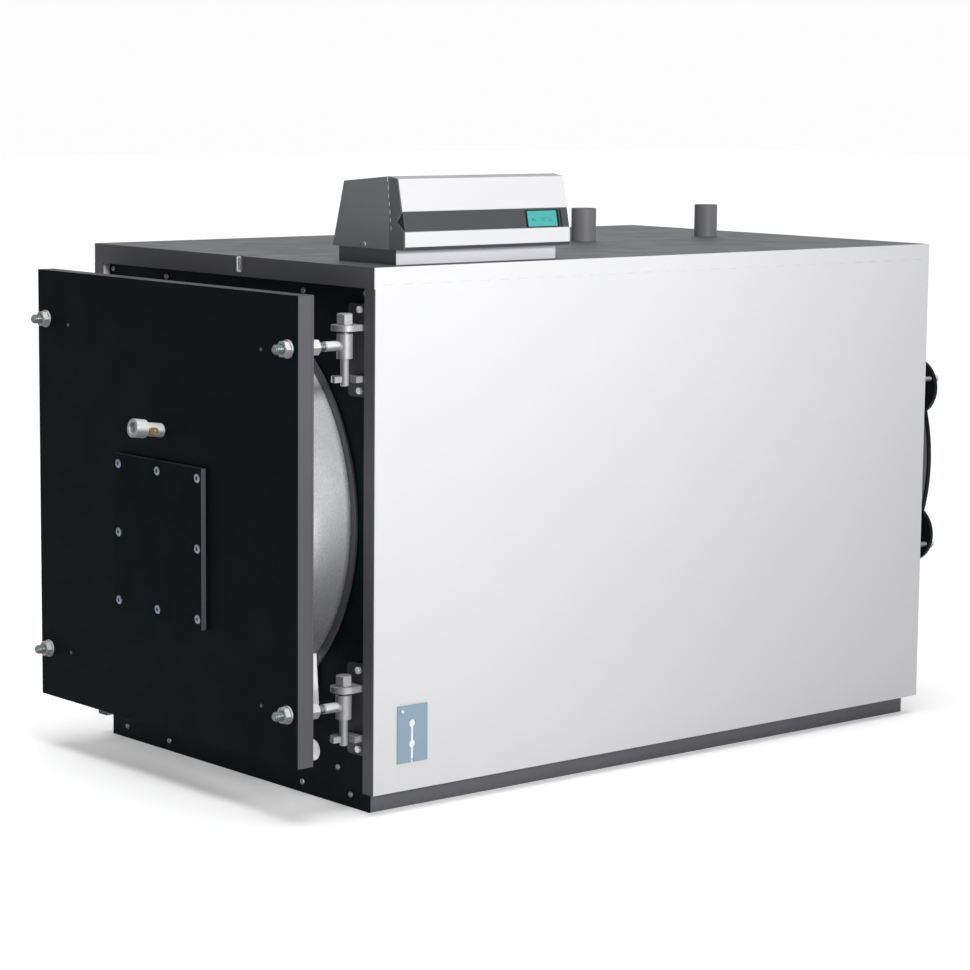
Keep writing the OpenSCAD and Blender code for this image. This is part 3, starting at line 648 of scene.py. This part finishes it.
def make_panel_screws():
    screws = Build()
    for sx in (-1, 1):
        for x, z in PANEL_SCREWS:
            domed_screw(screws, along((0, -1, 0), (sx * x * MM, PLATE_Y, z * MM)), *PANEL_HEAD)
    domed_screw(screws, along((0, -1, 0), (DRAIN_SCREW[0] * MM, PLATE_Y, DRAIN_SCREW[1] * MM)), *PANEL_HEAD)
    lo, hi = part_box("cable_plate")
    inset = 12 * MM
    domed_screw(screws, along((1, 0, 0), (hi.x, lo.y + inset, hi.z - inset)), 4 * MM, 2 * MM, 2.4 * MM)
    screws.piece("panel_screw_heads", "root", "zinc", "panel_screws", slot="zinc")


def make_burner_screws():
    """eight round the plate's edge"""
    lo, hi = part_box("burner_screws")
    r = 10.5 * MM
    screws = Build()
    for i, j in ((i, j) for i in range(3) for j in range(3) if (i, j) != (1, 1)):
        x = lo.x + r + (hi.x - lo.x - 2 * r) * i / 2
        z = lo.z + r + (hi.z - lo.z - 2 * r) * j / 2
        domed_screw(screws, along((0, -1, 0), (x, hi.y, z)), r, hi.y - lo.y + 0.6 * MM, 8 * MM)
    screws.piece("burner_screw_heads", "door", "screw", "burner_screws", slot="zinc")


def make_hinge_bolts():
    """one above and one below each rod"""
    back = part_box("hinge_bolts")[1].y
    bolts = Build()
    for sx, sz in RIGHT_LEFT:
        for dz in (70 * MM, -91 * MM):
            at = (sx * (ROD_X + 8 * MM), back, AXIS_Z + sz * ROD_DZ + dz)
            hex_head(bolts, along((0, -1, 0), at), 13 * MM, 7 * MM)
    bolts.piece("hinge_bolt_heads", "root", "bolt", "hinge_bolts", slot="zinc")


def make_console_screws():
    x, z = 364 * MM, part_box("console_floor")[1].z + 1 * MM
    screws = Build()
    for way, y in ((-1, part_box("console_end_front")[0].y), (1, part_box("console_end_rear")[1].y)):
        domed_screw(screws, along((0, way, 0), (x, y, z)), 5 * MM, 2.5 * MM, 3 * MM)
    screws.piece("console_screw_heads", "root", "hinge", "console_screws", slot="zinc")


def make_studs():
    """threaded studs through the ears of the smokebox cover, each with its nut"""
    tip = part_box("smokebox_studs")[1].y
    rear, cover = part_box("rear_plate")[1].y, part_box("smokebox_cover")[1].y
    r, x, dz = 6 * MM, 443 * MM, 196 * MM
    studs = Build()
    for sx, sz in RIGHT_LEFT:
        rings = thread_rings(tip - rear, r, 1.75 * MM, 2 * MM, 20, 6)
        place = along((0, -1, 0), (sx * x, tip, AXIS_Z + sz * dz))
        studs.rings([circle(r * 0.4, 0, 20)] + rings, place)
        hex_head(studs, along((0, 1, 0), (sx * x, cover, AXIS_Z + sz * dz)), 19 * MM, 9 * MM, bore=r)
    studs.piece("smokebox_stud_threads", "root", "zinc", "smokebox_studs", slot="zinc")


def make_pins():
    """hinge pins with a rounded tip below and a hexagon head, turned as in the CAD"""
    r, head = 8.5 * MM, 22 * MM
    for name in ("pin_upper_right", "pin_lower_right", "pin_upper_left", "pin_lower_left"):
        lo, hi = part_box(name)
        shank = hi.z - lo.z - head
        place = along((0, 0, 1), ((lo.x + hi.x) / 2, (lo.y + hi.y) / 2, lo.z), 20)
        ends = ((0.5, 0), (0.72, 0.2 * MM), (0.98, 2.2 * MM), (1, 3 * MM), (1, shank + 1 * MM))
        pin = Build()
        pin.rings([circle(r * share, h, 36) for share, h in ends], place)
        hex_head(pin, place, 30.3 * MM, head, shank)
        pin.piece(name.replace("pin", "hinge_pin"), "hinge_" + name, "hinge", name, slot="hinge_steel")


def make_rope():
    """braided sealing rope, square in section with rounded corners"""
    lo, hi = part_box("door_rope")
    outer, half_h = (hi.x - lo.x) / 2, (hi.y - lo.y) / 2
    half_w = 9 * MM
    rope_r, rope_y = outer - half_w, (lo.y + hi.y) / 2
    strands, lead = 90, 4                    # crossings round the ring, and their slope round the section
    rings = []
    for a in angles(720):
        ring = []
        for b in angles(16):
            u, v = math.cos(b), math.sin(b)
            weave = math.sin(strands * a + lead * b) * math.sin(strands * a - lead * b)
            grow = (0.95 + 0.05 * weave) * 0.98 * min(1 / max(abs(u), abs(v)) ** 0.7, 1.25)
            r = rope_r + half_w * grow * u
            ring.append((r * math.cos(a), rope_y + half_h * grow * v, AXIS_Z + r * math.sin(a)))
        rings.append(ring)
    rope = Build()
    rope.loop(rings, lambda p: p)
    rope.piece("sealing_rope", "door", "ceramic", "door_rope", slot="ceramic_fibre")


def make_hood_tabs():
    """white tabs of the hood in the slots of the end caps, from the highest to the lowest"""
    count, first, last = 7, (437, 168), (449, 73)                 # x, and z above the top cover, in mm
    half_w, half_h, first_high = 0.8 * MM, 4.2 * MM, 6.2 * MM
    tabs = Build()
    for y, inward in ((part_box("console_end_front")[0].y, 1), (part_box("console_end_rear")[1].y, -1)):
        for i in range(count):
            x, z = ((a + (b - a) * i / (count - 1)) * MM for a, b in zip(first, last))
            high = half_h if i else first_high
            corners = ((-half_w, -half_h), (half_w, -half_h), (half_w, high), (-half_w, high))
            tabs.rings([[(x + u * share, y + inward * depth * MM, TOP_Z + z + v * share) for u, v in corners]
                        for share, depth in ((1, 2.8), (1, 0.4), (0.8, 0.1))], lambda p: p)
    tabs.piece("hood_tabs", "root", "membrane", slot="casing_white")


class Display:
    """the lens's face: places along it in mm, u along Y from its front edge and w up from its lower edge"""

    def __init__(self):
        lo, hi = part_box("display_lens")
        points = [p.co for p in NODES["display_lens"].data.vertices]
        top = max(points, key=lambda p: (round(p.z, 5), p.x))
        low = max((p for p in points if p.z < lo.z + 4 * MM), key=lambda p: p.x)
        rise = Vector((top.x - low.x, 0, top.z - low.z))
        self.corner = Vector((low.x, lo.y, low.z))
        self.up = rise.normalized()
        self.out = Vector((self.up.z, 0, -self.up.x))
        self.width, self.height = (hi.y - lo.y) / MM, rise.length / MM

    def bar(self, build, u0, u1, w0, w1):
        """a thin block that stands a tenth of a millimetre out of the face"""
        corners = ((u0, w0), (u1, w0), (u1, w1), (u0, w1))
        build.rings([[self.corner + (Vector((0, u, 0)) + self.up * w + self.out * d) * MM for u, w in corners]
                     for d in (0.02, 0.12)], lambda p: p)


def make_bezel(display):
    wide, high, edge, rim = display.width, display.height, 1.8, 5.4
    bezel = Build()
    for bar in ((-rim, wide + rim, -edge, 0), (-rim, wide + rim, high, high + edge), (-rim, 0, 0, high),
                (wide, wide + rim, 0, high), (wide + 9, wide + 13, -edge, high + edge)):
        display.bar(bezel, *bar)
    bezel.piece("display_bezel", "root", "bezel", slot="console_grey")


# outer bars of a seven-segment digit: from and to along Y, from and to up the face, in mm
SEGMENTS = {"top": (0.6, 3.4, 8.4, 9.2), "low": (0.6, 3.4, 0, 0.8),
            "tl": (0, 0.8, 4.9, 8.8), "tr": (3.2, 4, 4.9, 8.8),
            "bl": (0, 0.8, 0.5, 4.6), "br": (3.2, 4, 0.5, 4.6)}


def make_symbols(display):
    """two level bars, two digits, a degree mark and three lines; none of them is lettering"""
    line = display.height * 0.36
    foot = line - 1.5
    ink = Build()
    for u, level in ((12, 5.5), (18, 3.5)):
        display.bar(ink, u, u + 3.2, line, line + level)
    for u, lit in ((35, "top tr br"), (42, "top low tl tr bl br")):
        for name in lit.split():
            u0, u1, w0, w1 = SEGMENTS[name]
            display.bar(ink, u + u0, u + u1, foot + w0, foot + w1)
    display.bar(ink, 49, 51, line + 5.6, line + 7.6)
    for end, w in ((66, -1.5), (64, 1.6), (60, 4.7)):
        display.bar(ink, 56, end, line + w, line + w + 1)
    ink.piece("display_segments", "root", "ink", slot="display_teal")


def make_door_rivets():
    rivets = Build()
    for sx in (-1, 1):
        for dz in (355, -358):
            at = (sx * 350 * MM, DOOR_LO.y + 0.2 * MM, AXIS_Z + dz * MM)
            domed_screw(rivets, along((0, -1, 0), at), 4 * MM, 1.6 * MM)
    rivets.piece("door_rivets", "door", "edge", slot="door_edge_grey")


make_rods()
make_nuts()
make_panel_screws()
make_burner_screws()
make_hinge_bolts()
make_console_screws()
make_studs()
make_pins()
make_rope()
make_hood_tabs()
DISPLAY = Display()
make_bezel(DISPLAY)
make_symbols(DISPLAY)
make_door_rivets()


# ---------------------------------------------------------------- floor, lights, surroundings

FLOOR_HALF = 40                              # metres, so that its edge is out of sight


def make_floor():
    mesh = bpy.data.meshes.new("floor")
    corners = [(sx * FLOOR_HALF, sy * FLOOR_HALF, 0) for sx, sy in ((-1, -1), (1, -1), (1, 1), (-1, 1))]
    mesh.from_pydata(corners, [], [(0, 1, 2, 3)])
    s = Shader("floor_pale")
    pale = s.mix(s.span(s.noise(0.6, 3), 0.3, 0.7), (0.88, 0.88, 0.89), (0.91, 0.91, 0.91))
    s.set(Base_Color=pale, Roughness=0.85, Specular_IOR_Level=0.1, Emission_Color=(1, 1, 1),
          Emission_Strength=0.28)
    mesh.materials.append(s.mat)
    floor = bpy.data.objects.new("floor", mesh)
    bpy.context.scene.collection.objects.link(floor)


def place_light(data, at, way):
    """a light at a place that shines that way"""
    light = bpy.data.objects.new(data.name, data)
    light.location = at
    light.rotation_mode = "QUATERNION"
    light.rotation_quaternion = Vector(way).to_track_quat("-Z", "Y")
    light.visible_camera = False
    bpy.context.scene.collection.objects.link(light)


def make_overhead():
    """soft light from above, the same at every place"""
    data = bpy.data.lights.new("overhead", "SUN")
    data.energy, data.angle = 1.8, math.radians(35)
    place_light(data, (0, 0, 0), (-0.10, 0.06, -1))


def make_side_key():
    """lamp beside the door's hinges, whose beam fades towards the rear and the foot of the right side"""
    data = bpy.data.lights.new("side_key", "SPOT")
    data.energy, data.spot_size, data.spot_blend, data.shadow_soft_size = 900, math.radians(79), 1.0, 0.5
    lamp, target = Vector((5.0, -1.2, 2.1)), Vector((0.5, -1.15, 2.33))
    place_light(data, lamp, target - lamp)


def make_world():
    """white surroundings, darker towards the right front and brighter towards the left rear"""
    world = bpy.data.worlds.new("studio")
    bpy.context.scene.world = world
    world.use_nodes = True
    tree = world.node_tree
    back = next(n for n in tree.nodes if n.type == "BACKGROUND")
    coord = tree.nodes.new("ShaderNodeTexCoord")
    dot = tree.nodes.new("ShaderNodeVectorMath")
    dot.operation = "DOT_PRODUCT"
    tree.links.new(coord.outputs["Generated"], dot.inputs[0])
    dot.inputs[1].default_value = (-0.75, 0.66, 0)
    span = tree.nodes.new("ShaderNodeMapRange")
    span.interpolation_type = "SMOOTHSTEP"
    tree.links.new(dot.outputs["Value"], span.inputs["Value"])
    for key, value in (("From Min", 0.1), ("From Max", 0.95), ("To Min", 0.14), ("To Max", 0.98)):
        span.inputs[key].default_value = value
    tree.links.new(span.outputs["Result"], back.inputs["Strength"])
    back.inputs["Color"].default_value = (1, 1, 1, 1)


make_floor()
make_world()
make_overhead()
make_side_key()
bpy.context.scene.view_settings.view_transform = "Standard"
